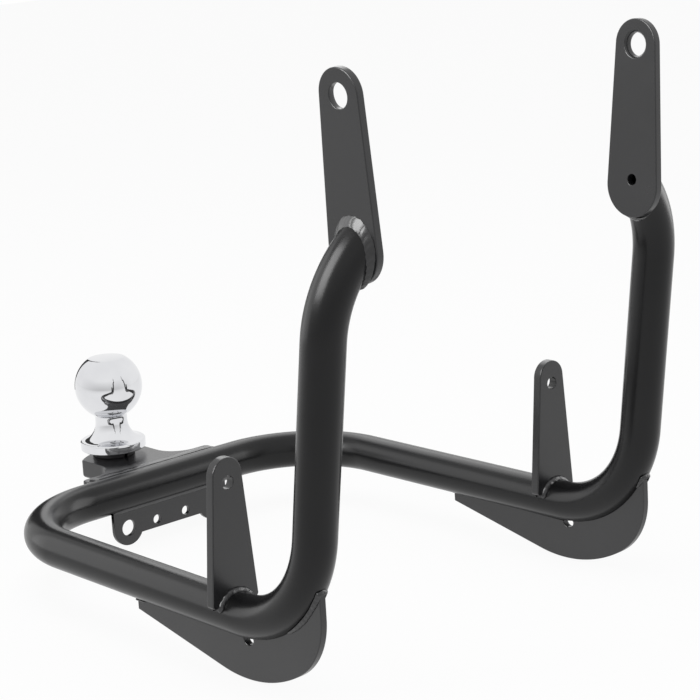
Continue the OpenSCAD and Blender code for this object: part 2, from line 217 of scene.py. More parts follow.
def powder_coat(name, gloss, peel_mm, ior, grain_mm=0.0, painted_lightness=0.0):
    """A satin black coat. gloss is its mean roughness, peel_mm the peel's depth and
    grain_mm the depth of the rough metal that shows through it. painted_lightness
    makes it paler as painted light, or darker as painted shade when below 0, and ior
    sets how much light its surface throws back."""
    material, tree, shader, place = new_material(name)
    clouds = noise(tree, place, CLOUD_SIZE, 3.0)
    hands = noise(tree, place, HAND_SIZE, 4.0, 0.6)
    peel = noise(tree, place, PEEL_SIZE, 1.0)
    fine = noise(tree, place, FINE_SIZE, 1.0)
    # Both tones scale with the painted lightness: below 0 it is painted shade, above 0 painted
    # light.
    deep, pale = (tuple(part * (1 + painted_lightness) for part in tone) + (1.0,)
                  for tone in (COAT_BLACK, COAT_GREY))
    plug(tree, shader.inputs["Base Color"],
         blend_colour(tree, clouds.between(0.3, 0.75), deep, pale))
    plug(tree, shader.inputs["Roughness"],
         gloss + HAND_GLOSS * (hands - 0.5) + FINE_GLOSS * (fine - 0.5))
    normal = bump(tree, peel * 0.8 + fine * 0.2, peel_mm)
    if grain_mm:
        normal = bump(tree, noise(tree, place, GRAIN_SIZE, 4.0, 0.65), grain_mm, normal)
    plug(tree, shader.inputs["Normal"], normal)
    shader.inputs["IOR"].default_value = ior
    return material


# The tube's coat is darkened as painted shade, and the weld coat is paled a little as painted
# light.
coat_tube = powder_coat("coat_on_tube", 0.25, 0.004, painted_lightness=-0.6, ior=1.36)
coat_plate = powder_coat("coat_on_plate", 0.24, 0.007, ior=1.58)
coat_weld = powder_coat("coat_on_weld", 0.24, 0.008, grain_mm=0.05, painted_lightness=0.1, ior=1.58)
print("powder coats:", coat_tube.name, coat_plate.name, coat_weld.name)

# %% [markdown]
# ## Chrome, zinc and spring steel
#
# The ball is turned, polished and chromed. Polishing leaves faint rings round its
# axis, far too fine to see one by one, and wipes leave a soft haze. The nut is zinc
# plated: duller, with a fine scale-like grain. The spring ring is steel coloured
# nearly black, with faint stains.

# %% The metal finishes
CHROME_DARK, CHROME_PALE = (0.72, 0.725, 0.745, 1), (0.78, 0.785, 0.80, 1)
ZINC_PALE, ZINC_DARK = (0.52, 0.525, 0.545, 1), (0.35, 0.35, 0.365, 1)
STEEL_DARK, STEEL_PALE = (0.035, 0.035, 0.038, 1), (0.075, 0.072, 0.070, 1)


def chrome_plate():
    """Polished chrome, with a haze where it was wiped."""
    material, tree, shader, place = new_material("chrome_plate")
    haze = noise(tree, place, 24.0, 3.0)
    wipes = noise(tree, place, 4.0, 4.0, 0.6)
    plug(tree, shader.inputs["Base Color"],
         blend_colour(tree, haze.between(0.35, 0.7), CHROME_DARK, CHROME_PALE))
    plug(tree, shader.inputs["Roughness"],
         0.035 + 0.05 * wipes.between(0.55, 0.8) * haze)
    rings = node(tree, "ShaderNodeTexWave", {"wave_type": "RINGS", "rings_direction": "Z"},
                 {"Vector": place, "Scale": 900.0, "Distortion": 0.4, "Detail": 1.0}).out(1)
    plug(tree, shader.inputs["Normal"], bump(tree, rings * 0.5 + wipes * 0.5, 0.0006))
    shader.inputs["Metallic"].default_value = 1.0
    return material


def zinc_plate():
    """Zinc, with darker stains."""
    material, tree, shader, place = new_material("zinc_plate")
    cells = node(tree, "ShaderNodeTexVoronoi", {}, {"Vector": place, "Scale": 700.0}).out(0)
    stain = noise(tree, place, 5.0, 4.0, 0.6)
    plug(tree, shader.inputs["Base Color"],
         blend_colour(tree, stain.between(0.35, 0.75), ZINC_PALE, ZINC_DARK))
    plug(tree, shader.inputs["Roughness"], 0.24 + 0.16 * stain)
    plug(tree, shader.inputs["Normal"], bump(tree, cells * 0.5 + stain * 0.5, 0.02))
    shader.inputs["Metallic"].default_value = 1.0
    return material


def dark_steel():
    """Spring steel, coloured nearly black."""
    # The ring's steel is coloured nearly black, with paler stains.
    material, tree, shader, place = new_material("near_black_spring_steel")
    stain = noise(tree, place, 4.0, 4.0, 0.6)
    plug(tree, shader.inputs["Base Color"],
         blend_colour(tree, stain.between(0.35, 0.7), STEEL_DARK, STEEL_PALE))
    plug(tree, shader.inputs["Roughness"], 0.28 + 0.2 * stain)
    plug(tree, shader.inputs["Normal"], bump(tree, stain, 0.03))
    shader.inputs["Metallic"].default_value = 0.8
    return material


chrome, zinc, spring = chrome_plate(), zinc_plate(), dark_steel()
SLOT = {coat_tube: "powder_coat", coat_plate: "powder_coat", coat_weld: "powder_coat",
        chrome: "chrome", zinc: "plated_steel", spring: "plated_steel"}
print("metal finishes:", chrome.name, zinc.name, spring.name)

# %% [markdown]
# ## Putting a surface into the scene
#
# Every surface below is an array of points and an array of faces. One function makes
# the mesh, mirrors it for the left side, turns all faces outwards, shades it, and
# hands it to the frame in place of its CAD node.

# %% From arrays to a piece
MERGE_DISTANCE, FACE_WEIGHT = 2e-6, 90
coated = bpy.data.collections.new("coated_pieces")
rounded = bpy.data.collections.new("coated_tube_and_welds")


def quads(rows, columns, closed_rows=False, closed_columns=False):
    """Faces of a grid of points: each joins a point to its neighbours in the next
    column and the next row, and a closed direction joins the last to the first."""
    row = np.arange(rows if closed_rows else rows - 1)[:, None] * columns
    column = np.arange(columns if closed_columns else columns - 1)[None, :]
    next_row, next_column = (row + columns) % (rows * columns), (column + 1) % columns
    corners = (row + column, row + next_column, next_row + next_column, next_row + column)
    return np.stack(np.broadcast_arrays(*corners), -1).reshape(-1, 4)


def join(parts):
    """Several (points, faces) as one, with each part's faces moved past the points
    before it."""
    points, faces, start = [], [], 0
    for some_points, some_faces in parts:
        points.append(np.asarray(some_points).reshape(-1, 3))
        faces += [[corner + start for corner in face] for face in np.asarray(some_faces).tolist()]
        start += len(points[-1])
    return np.concatenate(points), faces


def flip(parts):
    """The mirror image, on the other side of the middle plane."""
    return [(np.asarray(points).reshape(-1, 3) * [-1, 1, 1], faces) for points, faces in parts]


def add_piece(name, parts, material, *nodes, weighted=True):
    """Makes one piece from (points, faces) in drawing millimetres. Coated pieces also
    join the collections that the sheen lamps shine on."""
    points, faces = join(parts)
    mesh = bpy.data.meshes.new(name)
    mesh.from_pydata(((points + HOME) * MM).tolist(), [], faces)
    tidy = bmesh.new()
    tidy.from_mesh(mesh)
    bmesh.ops.remove_doubles(tidy, verts=tidy.verts, dist=MERGE_DISTANCE)
    bmesh.ops.recalc_face_normals(tidy, faces=tidy.faces)
    open_edges = sum(not edge.is_manifold for edge in tidy.edges)
    tidy.to_mesh(mesh)
    tidy.free()
    mesh.shade_smooth()
    mesh.materials.append(material)
    piece = bpy.data.objects.new(name, mesh)
    bpy.context.scene.collection.objects.link(piece)
    if SLOT[material] == "powder_coat":
        coated.objects.link(piece)
    if material in (coat_tube, coat_weld):
        rounded.objects.link(piece)
    if weighted:
        shading = piece.modifiers.new("face_normals", "WEIGHTED_NORMAL")
        shading.keep_sharp, shading.weight = True, FACE_WEIGHT
    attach(piece, "root")
    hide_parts(*nodes)
    print(f"{name}: {len(mesh.polygons)} faces, {open_edges} open edges")


def add_pair(name, parts, material, node_name):
    """A piece on the right side, and its mirror image on the left."""
    add_piece(name + "_right", parts, material, node_name + "_right")
    add_piece(name + "_left", flip(parts), material, node_name + "_left")


print("for the sheen lamps:", coated.name, "and", rounded.name)

# %% [markdown]
# ## The bent tube
#
# A tube bender works from a table: so far straight, so much bend, a turn, and so on.
# The centre line below is that table. `place_on_line` walks it for a whole array of
# distances at once, so a straight and a bend meet without a seam. The last bend runs
# on past its end, and the strap's face cuts it. Each line along the tube is cut at its
# own distance, which bisection finds for all lines together.

# %% The centre line of the right half
ARM_TOE = np.arctan((FRONT_SPAN - REAR_SPAN) / 2 / ARM_LEN)
REAR_TURN, FRONT_TURN = np.pi / 2 - ARM_TOE, np.pi / 2 - LEAN
REAR_TAN, FRONT_TAN = BEND_R * np.tan(REAR_TURN / 2), BEND_R * np.tan(FRONT_TURN / 2)
CROSS_RUN = REAR_SPAN / 2 - REAR_TAN
ARM_RUN = ARM_LEN / np.cos(ARM_TOE) - REAR_TAN - FRONT_TAN
UPRIGHT_RUN = UPRIGHT_LEN - FRONT_TAN
OVER_BEND = np.radians(16)


def bend_table():
    """Stretches of the centre line: kind, length, start, way ahead, way to the inside
    of the next bend. A bend's stretch turns the way ahead towards the inside."""
    at = np.array([0.0, ARM_LEN, 0.0])
    ahead, inside = np.array([-1.0, 0, 0]), np.array([0, -1.0, 0])
    table = []
    for kind, size, twist in (
            ("straight", CROSS_RUN, 0), ("bend", REAR_TURN, 0),
            ("straight", ARM_RUN, np.pi / 2 - TOE), ("bend", FRONT_TURN, 0),
            ("straight", UPRIGHT_RUN, -np.pi / 2), ("bend", TOP_BEND + OVER_BEND, 0)):
        length = size if kind == "straight" else size * BEND_R
        table.append((kind, length, at, ahead, inside))
        if kind == "straight":
            at = at + ahead * size
            side = np.cross(ahead, inside)
            inside = inside * np.cos(twist) + side * np.sin(twist)
        else:
            at = at + BEND_R * (np.sin(size) * ahead + (1 - np.cos(size)) * inside)
            ahead, inside = (np.cos(size) * ahead + np.sin(size) * inside,
                             np.cos(size) * inside - np.sin(size) * ahead)
    return table


TABLE = bend_table()
STARTS = np.cumsum([0.0] + [row[1] for row in TABLE])


def bent(way, ahead, inside, angle):
    """A cross direction after a bend by the angle: way + (way . inside) times
    ((cos angle - 1) inside - sin angle ahead)."""
    return way + (way @ inside) * ((np.cos(angle) - 1) * inside - np.sin(angle) * ahead)


def frame_at_joint(index):
    """The steady pair of directions across the tube at the start of a stretch. It
    turns with the bends only, so that a line drawn along the tube never twists."""
    first, second = np.array([0, -1.0, 0]), np.array([0, 0, 1.0])
    for kind, length, _, ahead, inside in TABLE[:index]:
        if kind == "bend":
            first, second = (bent(way, ahead, inside, length / BEND_R) for way in (first, second))
    return first, second


def place_on_line(distance):
    """Point and the two steady cross directions at each distance: on a straight the
    point moves ahead, and on a bend it goes round the bend's centre."""
    distance = np.asarray(distance, float)
    shape = distance.shape + (3,)
    point, across, upright = (np.zeros(shape) for _ in range(3))
    for index, (kind, length, at, ahead, inside) in enumerate(TABLE):
        last = index == len(TABLE) - 1
        here = (distance >= STARTS[index]) & ((distance < STARTS[index + 1]) | last)
        along = (distance[here] - STARTS[index])[:, None]
        first, second = frame_at_joint(index)
        if kind == "straight":
            point[here] = at + along * ahead
            across[here], upright[here] = first + 0 * along, second + 0 * along
        else:
            angle = along / BEND_R
            point[here] = at + BEND_R * (np.sin(angle) * ahead + (1 - np.cos(angle)) * inside)
            across[here] = bent(first, ahead, inside, angle)
            upright[here] = bent(second, ahead, inside, angle)
    return point, across, upright


def on_tube(distance, angle, radius):
    """Centre line point, plus radius times the cosine and sine of the angle along the
    two cross directions."""
    point, across, upright = place_on_line(distance)
    return point + radius * (np.cos(angle)[..., None] * across
                             + np.sin(angle)[..., None] * upright)


TOP_AT, TOP_AHEAD, TOP_INSIDE = TABLE[5][2:5]
FOOT = TOP_AT + BEND_R * (np.sin(TOP_BEND) * TOP_AHEAD + (1 - np.cos(TOP_BEND)) * TOP_INSIDE)
OUTWARD = np.array([-np.cos(STRAP_TILT), 0, -np.sin(STRAP_TILT)])
print("centre line of one half:", round(STARTS[-1]), "mm; strap foot at", FOOT.round(1))

# %% The tube's two skins
CUT_FROM, HALVINGS, TUBE_STEPS = STARTS[5] - 20.0, 40, 96


def cut_distance(angle, radius):
    """How far along the tube each line meets the strap's face, by halving."""
    low = np.full(angle.shape, CUT_FROM)
    high = np.full(angle.shape, STARTS[6])
    for _ in range(HALVINGS):
        middle = (low + high) / 2
        before = (on_tube(middle, angle, radius) - FOOT) @ OUTWARD > 0
        low, high = np.where(before, middle, low), np.where(before, high, middle)
    return (low + high) / 2


def tube_skin(radius):
    """A grid of points: each row is a ring round the tube, and each column is a line
    along it."""
    angle = np.linspace(0, 2 * np.pi, TUBE_STEPS, endpoint=False)
    end = cut_distance(angle, radius)
    steps = [np.linspace(start, stop, count, endpoint=False) for start, stop, count in (
        (STARTS[0], STARTS[1], 8), (STARTS[1], STARTS[2], 72), (STARTS[2], STARTS[3], 16),
        (STARTS[3], STARTS[4], 66), (STARTS[4], CUT_FROM, 14))]
    fixed = np.concatenate(steps)[:, None] + 0 * angle
    last = CUT_FROM + np.linspace(0, 1, 52)[:, None] * (end - CUT_FROM)
    distance = np.concatenate([fixed, last])
    return on_tube(distance, angle + 0 * distance, radius)


outer, inner = tube_skin(TUBE_R), tube_skin(TUBE_R - WALL)
rows, columns = outer.shape[:2]
end_ring = np.stack([outer[-1], inner[-1]])
half_tube = [(outer, quads(rows, columns, closed_columns=True)),
             (inner, quads(rows, columns, closed_columns=True)),
             (end_ring, quads(2, columns, closed_columns=True))]
add_piece("bent_tube", half_tube + flip(half_tube), coat_tube, "main_tube", weighted=False)

# %% [markdown]
# ## Plates
#
# The straps, tabs, gussets, the platform and the chain plate are cut from sheet, so
# each is an outline with a thickness. What makes them look real is the edge: the cut
# edge is broken and the coat rounds it further, and that narrow round catches the
# light as a pale line. So the wall is a small profile, a quarter round, a flat and a
# quarter round, carried along the outline. The faces are filled in the flat.

# %% Outlines, and walls carried along them
EDGE_STEPS, CONE_FOOT_R, SAME_POINT = 4, 0.25, 1e-6


def arc(x, y, radius, start, stop, count=24):
    """Points at equal angles, in degrees, round (x, y)."""
    angle = np.radians(np.linspace(start, stop, count))
    return np.stack([x + radius * np.cos(angle), y + radius * np.sin(angle)], -1)


def circle(x, y, radius, count=64):
    """A hole's outline, clockwise, so that its wall faces into the hole."""
    return arc(x, y, radius, 360, 0, count + 1)[:-1]


def mitres(outline):
    """Outward direction at each point: the mean of its two edges' normals, stretched
    so that a step along it moves both edges by one."""
    edge = np.roll(outline, -1, 0) - outline
    normal = np.stack([edge[:, 1], -edge[:, 0]], -1) / np.linalg.norm(edge, axis=1)[:, None]
    before = np.roll(normal, 1, 0)
    return (before + normal) / (1 + (before * normal).sum(1))[:, None]


def wall_profile(thick, near, far):
    """Inset and depth down a wall: quarter rounds of radius near and far."""
    angle = np.linspace(0, np.pi / 2, EDGE_STEPS + 1)
    inset = np.concatenate([near * (1 - np.sin(angle)), far * (1 - np.cos(angle))])
    depth = np.concatenate([near * (1 - np.cos(angle)), thick - far * (1 - np.sin(angle))])
    return inset, depth


def cone_profile(thick, near, depth_far):
    """Inset and depth down a hole's wall with a countersink on the far side."""
    inset, depth = wall_profile(thick, near, CONE_FOOT_R)
    start, place = thick - depth_far, EDGE_STEPS + 1
    inset = inset + np.clip(depth - start, 0, None)
    return np.insert(inset, place, 0.0), np.insert(depth, place, start)


def plate(outlines, thick, edge, profiles=None):
    """Points (u, v, depth) and faces of a plate with holes. The first outline runs
    anticlockwise round the plate and the others clockwise round the holes. edge is the
    radius of the rounded edges, where profiles gives an outline no wall of its own."""
    parts, rims = [], ([], [])
    for index, outline in enumerate(outlines):
        inset, depth = (profiles or {}).get(index) or wall_profile(thick, edge, edge)
        flat = outline[None] - mitres(outline)[None] * inset[:, None, None]
        down = np.broadcast_to(depth[:, None, None], flat.shape[:2] + (1,))
        grid = np.concatenate([flat, down], -1)
        parts.append((grid, quads(*grid.shape[:2], closed_columns=True)))
        rims[0].append(flat[0])
        rims[1].append(flat[-1])
    for loops, level in zip(rims, (0.0, thick)):
        parts.append(fill(loops, level))
    return parts


def fill(loops, level):
    """Triangles over the first loop, without the ones in the other loops."""
    points = np.concatenate(loops)
    edges, start = [], 0
    for loop in loops:
        count = len(loop)
        edges += [(start + step, start + (step + 1) % count) for step in range(count)]
        start += count
    found = delaunay_2d_cdt([Vector(point) for point in points], edges, [], 0, SAME_POINT)
    flat = np.array([tuple(point) for point in found[0]])
    triangles = np.array([tuple(face) for face in found[2]])
    middle = flat[triangles].mean(1)
    keep = inside(middle, loops[0])
    for hole in loops[1:]:
        keep &= ~inside(middle, hole)
    return np.column_stack([flat, np.full(len(flat), level)]), triangles[keep]


def inside(points, loop):
    """True where a line from the point to the right crosses the loop an odd number
    of times."""
    (from_x, from_y), (to_x, to_y) = loop.T, np.roll(loop, -1, 0).T
    x, y = points[:, 0][:, None], points[:, 1][:, None]
    span = (from_y > y) != (to_y > y)
    rise = np.where(to_y == from_y, 1.0, to_y - from_y)
    cross_x = from_x + (y - from_y) / rise * (to_x - from_x)
    return ((span & (x < cross_x)).sum(1) % 2).astype(bool)


def stand(parts, origin, u, v, w):
    """Places plate coordinates: origin plus u, v and depth along three directions."""
    turn = np.array([u, v, w], float)
    return [(np.asarray(points).reshape(-1, 3) @ turn + np.asarray(origin), faces)
            for points, faces in parts]


print("a wall has", 2 * (EDGE_STEPS + 1), "rows of points")

# %% [markdown]
# ## Strap plates
#
# A strap is two rounds and their common tangents. The bolt hole at the top is
# countersunk on the inside. The small hole in the foot opens into the tube, so that
# the wash before coating can drain.

# %% The straps
BOLT_R, COUNTERSINK, DRAIN_R, DRAIN_UP = 7.05, 1.4, 3.35, 3.5
STRAP_EDGE, BOLT_EDGE, DRAIN_EDGE = 0.7, 0.5, 0.4
lean = np.degrees(np.arcsin((STRAP_FOOT_R - STRAP_TOP_R) / STRAP_PITCH))
strap_outline = np.concatenate([arc(0, STRAP_PITCH, STRAP_TOP_R, lean, 180 - lean, 40),
                                arc(0, 0, STRAP_FOOT_R, 180 - lean, 360 + lean, 56)])
strap = plate([strap_outline, circle(0, STRAP_PITCH, BOLT_R), circle(0, DRAIN_UP, DRAIN_R, 40)],
              STRAP_T, STRAP_EDGE, {1: cone_profile(STRAP_T, BOLT_EDGE, COUNTERSINK),
                                    2: wall_profile(STRAP_T, DRAIN_EDGE, DRAIN_EDGE)})
tilt = Matrix.Rotation(-STRAP_TILT, 3, "Y")
rake = Matrix.Rotation(STRAP_RAKE, 3, "X")
to_strap = np.array(tilt @ rake)
strap_origin = FOOT + np.array(tilt) @ [0, STRAP_BACK, 0]
strap = stand(strap, strap_origin, to_strap[:, 1], to_strap[:, 2], to_strap[:, 0])
add_pair("strap", strap, coat_plate, "strap_plate")

# %% [markdown]
# ## Tabs
#
# A tab stands astride the arm. Its foot is cut to the tube's round, and the two legs
# reach a little below the top of the tube.

# %% The tabs
TAB_T, TAB_SET, TAB_H, TAB_TOP_R = 6.0, 65.7, 93.0, 10.8
TAB_FOOT, TAB_FOOT_H, TAB_FOOT_R, TAB_DROP = 17.3, 5.5, 2.0, 14.8
TAB_HOLE_R, TAB_EDGE, TAB_HOLE_EDGE = 4.0, 0.75, 0.45
TAB_CZ = TAB_H - TAB_TOP_R
rise = TAB_CZ - TAB_FOOT_H
tab_lean = np.arctan2(TAB_FOOT, rise) - np.arcsin(TAB_TOP_R / np.hypot(TAB_FOOT, rise))
foot_x = TAB_FOOT - TAB_FOOT_R * np.tan(tab_lean) - TAB_FOOT_R
tab_deg = np.degrees(tab_lean)
saddle = np.degrees(np.arcsin(TAB_FOOT_H / TUBE_R))
tab_outline = np.concatenate([
    arc(foot_x, TAB_FOOT_H + TAB_FOOT_R, TAB_FOOT_R, -90, tab_deg, 10),
    arc(0, TAB_CZ, TAB_TOP_R, tab_deg, 180 - tab_deg, 36),
    arc(-foot_x, TAB_FOOT_H + TAB_FOOT_R, TAB_FOOT_R, 180 - tab_deg, 270, 10),
    arc(0, 0, TUBE_R, 180 - saddle, saddle, 40)])
tab_x = -FRONT_SPAN / 2 + np.tan(ARM_TOE) * (TAB_SET + TAB_T / 2)
tab = plate([tab_outline, circle(0, TAB_H - TAB_DROP, TAB_HOLE_R, 48)], TAB_T, TAB_EDGE,
            {1: wall_profile(TAB_T, TAB_HOLE_EDGE, TAB_HOLE_EDGE)})
tab = stand(tab, (tab_x, TAB_SET, 0), (1, 0, 0), (0, 0, 1), (0, 1, 0))
add_pair("tab", tab, coat_plate, "tab")

# %% [markdown]
# ## Gussets
#
# A gusset is a web under the front bend. Its upper edge follows the tube, so it is
# the bend's own arc. Its lower edge is a nose, a belly and a long straight, each
# tangent to the next. A notch under the tube lets the coating drain. The gusset stops
# a little short at the tip, where the weld runs over it.

# %% The gussets
GUSSET_T, REACH, DEPTH, NOSE, NOSE_R, NOSE_H = 4.6, 159.0, 38.5, 11.3, 44.0, 13.0
GUSSET_TOP, BELLY_R, SLOPE, NOTCH_R, NOTCH_SET = 29.0, 95.0, 12.3, 4.35, 54.0
SUNK, TIP_UNDER_WELD, GUSSET_EDGE, TOP_EDGE_FROM = 0.4, 1.8, 0.6, -97
SEAT = TUBE_R - SUNK
nose_y, belly_z = NOSE_R - NOSE, BELLY_R - DEPTH
belly_y = nose_y + np.sqrt((BELLY_R - NOSE_R) ** 2 - (belly_z - NOSE_H) ** 2)
belly_turn = np.degrees(np.arctan2(belly_y - nose_y, belly_z - NOSE_H))
edge_y = belly_y + BELLY_R * np.sin(np.radians(SLOPE))
tip_z = belly_z - BELLY_R * np.cos(np.radians(SLOPE)) + (REACH - edge_y) * np.tan(np.radians(SLOPE))
bend_out = BEND_R + SEAT
top_turn = np.degrees(np.arccos((BEND_R - GUSSET_TOP) / bend_out))
plate_top = GUSSET_TOP - TIP_UNDER_WELD
plate_turn = np.degrees(np.arccos((BEND_R - plate_top) / bend_out))
gusset_outline = np.concatenate([
    [[REACH, tip_z], [REACH, -SEAT]],
    arc(NOTCH_SET, -TUBE_R, NOTCH_R, -4, -176, 20),
    arc(FRONT_TAN, BEND_R, bend_out, TOP_EDGE_FROM, -90 - plate_turn, 48),
    [[-NOSE, plate_top]],
    arc(nose_y, NOSE_H, NOSE_R, 180, 270 - belly_turn, 40),
    arc(belly_y, belly_z, BELLY_R, 270 - belly_turn, 270 + SLOPE, 40)[1:]])
gusset_x = -FRONT_SPAN / 2 + np.tan(ARM_TOE) * NOTCH_SET
gusset = stand(plate([gusset_outline], GUSSET_T, GUSSET_EDGE),
               (gusset_x - GUSSET_T / 2, 0, 0), (0, 1, 0), (0, 0, 1), (1, 0, 0))
add_pair("gusset", gusset, coat_plate, "gusset")

# %% [markdown]
# ## Ball platform and chain plate
#
# Both plates end inside the cross tube's wall, where the weld covers the joint. The
# platform is a two inch flat bar whose end is ground to a shallow arc. Two hollow
# corners widen it to its root. The chain plate has a lobe round each chain hole.

# %% The platform and the chain plate
BAR, BAR_END, END_R, ROOT_W, ROOT_SET, ROOT_R = 25.4, 14.6, 36.0, 110.0, 19.0, 4.0
WEB_R, HOLE_R, END_CORNER_R, FRONT_SET = 18.0, 9.9, 2.8, 6.8
HOLE_EDGE, UPPER_EDGE, LOWER_EDGE = 1.0, 0.9, 2.5
front, root_y, half = ARM_LEN + FRONT_SET, ARM_LEN + ROOT_SET, ROOT_W / 2
web_x, web_y = BAR + WEB_R, root_y + WEB_R
end_y = BALL_Y + BAR_END - END_R
corner_x = BAR - END_CORNER_R
corner_rise = np.sqrt((END_R - END_CORNER_R) ** 2 - corner_x ** 2)
swing = np.degrees(np.arctan2(corner_rise, corner_x))
tongue_outline = np.concatenate([
    [[half, front]], arc(half - ROOT_R, root_y - ROOT_R, ROOT_R, 0, 90, 8),
    arc(web_x, web_y, WEB_R, 270, 180, 24),
    arc(corner_x, end_y + corner_rise, END_CORNER_R, 0, swing, 8),
    arc(0, end_y, END_R, swing, 180 - swing, 40)[1:-1],
    arc(-corner_x, end_y + corner_rise, END_CORNER_R, 180 - swing, 180, 8),
    arc(-web_x, web_y, WEB_R, 0, -90, 24),
    arc(-half + ROOT_R, root_y - ROOT_R, ROOT_R, 90, 180, 8), [[-half, front]]])
tongue = plate([tongue_outline, circle(0, BALL_Y, HOLE_R)], TONGUE_T, HOLE_EDGE,
               {0: wall_profile(TONGUE_T, UPPER_EDGE, LOWER_EDGE)})
tongue = stand(tongue, (0, 0, TONGUE_TOP), (1, 0, 0), (0, 1, 0), (0, 0, -1))
add_piece("ball_platform", tongue, coat_plate, "tongue_plate")

CHAIN_T, AHEAD, SPAN, LOBE_R, DROP, EDGE_Z = 3.2, 7.5, 73.8, 12.2, 23.4, 29.1
CHAIN_HOLE_R, SMALL_HOLE_R, SMALL_HOLE_X, CHAIN_TOP, CHAIN_EDGE = 5.55, 3.175, 12.5, -10.0, 0.45
meet = np.degrees(np.arcsin((EDGE_Z - DROP) / LOBE_R))
lobe = SPAN / 2
chain_outline = np.concatenate([
    [[lobe + LOBE_R, CHAIN_TOP], [-lobe - LOBE_R, CHAIN_TOP]],
    arc(-lobe, -DROP, LOBE_R, 180, 360 - meet, 36), arc(lobe, -DROP, LOBE_R, 180 + meet, 360, 36)])
chain = plate([chain_outline, circle(-lobe, -DROP, CHAIN_HOLE_R), circle(lobe, -DROP, CHAIN_HOLE_R),
               circle(-SMALL_HOLE_X, -DROP, SMALL_HOLE_R, 40),
               circle(SMALL_HOLE_X, -DROP, SMALL_HOLE_R, 40)], CHAIN_T, CHAIN_EDGE)
chain = stand(chain, (0, ARM_LEN - AHEAD, 0), (1, 0, 0), (0, 0, 1), (0, 1, 0))
add_piece("chain_plate_coated", chain, coat_plate, "chain_plate")

# %% [markdown]
# ## Weld beads
#
# A bead lies in the corner between two surfaces. Its section is a quarter round
# between the ways along the two surfaces. The welder's hand leaves overlapping
# coins, so the size swells and dips along the bead, and the coins' edges bow
# forward in the middle. A slow waver keeps two beads from looking alike. The strap's
# bead is thinner where the strap's rim is near. At a gusset's tip the bead runs far
# down the outer side, and only a little way down the inner one.

# %% Beads along a path
OVERLAP, COIN_BOW, BACK_SUNK, SECTION_STEPS = 0.06, 0.55, 0.25, 11


def flattened(value, power):
    """The value's size raised to the power, with its sign kept."""
    return np.sign(value) * np.abs(value) ** power


def bead(path, along_a, along_b, size, coin=2.4, seed=0, closed=False, taper=4.0, ripple=0.10,
         flat=1.0):
    """Points are path + size * swell * (cos t * a + sin t * b), with t from a little
    before 0 to a little past a quarter turn; the back is the corner itself, sunk a
    little. The cosine and sine are raised to the power flat, so that 1 gives a round
    bead and 2 a flat one. coin is a coin's length, ripple its height as a share of the
    bead's, taper the length of a fading end, and seed shifts the slow waver."""
    step = np.linalg.norm(np.diff(path, axis=0), axis=1)
    walked = np.concatenate([[0], np.cumsum(step)])
    whole = walked[-1] + (np.linalg.norm(path[0] - path[-1]) if closed else 0)
    coins = max(2, round(whole / coin))
    over = np.linspace(-OVERLAP, 1 + OVERLAP, SECTION_STEPS)
    phase = walked[:, None] / whole * coins + COIN_BOW * (1 - (2 * over - 1) ** 2)[None]
    swell = 1.0 - ripple + ripple * np.abs(np.sin(np.pi * phase)) ** 0.7
    waver = 2 * np.pi * walked / whole
    swell *= (1 + 0.05 * np.sin(3 * waver + seed) + 0.035 * np.sin(7 * waver + 2.3 * seed))[:, None]
    if not closed:
        ends = np.clip(np.minimum(walked, whole - walked) / taper, 0.02, 1)
        swell *= np.sqrt(ends * (2 - ends))[:, None]
    angle = over * np.pi / 2
    skin = (path[:, None] + size * swell[..., None] *
            (flattened(np.cos(angle), flat)[None, :, None] * along_a[:, None]
             + flattened(np.sin(angle), flat)[None, :, None] * along_b[:, None]))
    back = path - BACK_SUNK * (along_a + along_b)
    grid = np.concatenate([skin, back[:, None]], 1)
    parts = [(grid, quads(*grid.shape[:2], closed_rows=closed, closed_columns=True))]
    if not closed:
        ring = np.arange(grid.shape[1])[None]
        parts += [(grid[0], ring[:, ::-1]), (grid[-1], ring)]
    return parts


def steady(direction, count):
    """The same direction at every point of a path."""
    return np.broadcast_to(np.asarray(direction, float), (count, 3))


print("a bead's section has", SECTION_STEPS + 1, "points")

# %% Welds at the straps and the tabs
STRAP_BEAD, STRAP_COIN, TAB_BEAD, TAB_COIN = 3.7, 3.8, 2.6, 3.4
ROOM_PAST, ROOM_LEAST, ROOM_MOST = 1.2, 1.2, 3.0
ring_angle = np.linspace(0, 2 * np.pi, 240, endpoint=False)
ring_cut = cut_distance(ring_angle, TUBE_R)
ring_path = on_tube(ring_cut, ring_angle, TUBE_R)
ring_back = on_tube(ring_cut - 1.0, ring_angle, TUBE_R) - ring_path
ring_back /= np.linalg.norm(ring_back, axis=1)[:, None]
away = ring_path - ring_path.mean(0)
away -= (away @ OUTWARD)[:, None] * OUTWARD
away /= np.linalg.norm(away, axis=1)[:, None]
room = STRAP_FOOT_R + ROOM_PAST - np.linalg.norm(ring_path - strap_origin, axis=1)
ring_size = np.clip(room, ROOM_LEAST, ROOM_MOST)[:, None] / ROOM_MOST
strap_weld = bead(ring_path, away * ring_size, ring_back * 1.15, STRAP_BEAD, coin=STRAP_COIN,
                  seed=1, closed=True, ripple=0.06, flat=1.7)
add_pair("strap_bead", strap_weld, coat_weld, "strap_weld")

turn = np.radians(np.linspace(13, 167, 120))
radial = np.stack([np.cos(turn), 0 * turn, np.sin(turn)], -1)
tab_welds = []
for number, (y, way) in enumerate(((TAB_SET, -1.0), (TAB_SET + TAB_T, 1.0))):
    tab_path = np.array([tab_x, y, 0]) + TUBE_R * radial
    tab_welds += bead(tab_path, radial, steady((0, way, 0), len(turn)), TAB_BEAD,
                      coin=TAB_COIN, seed=3 + number, ripple=0.05)
add_pair("tab_bead", tab_welds, coat_weld, "tab_weld")

# %% Welds at the gussets
STITCH, TIP_STITCH, REAR_BEAD, TIP_BEAD, END_BULGE = 9.0, 42.0, 1.2, 2.3, 0.4


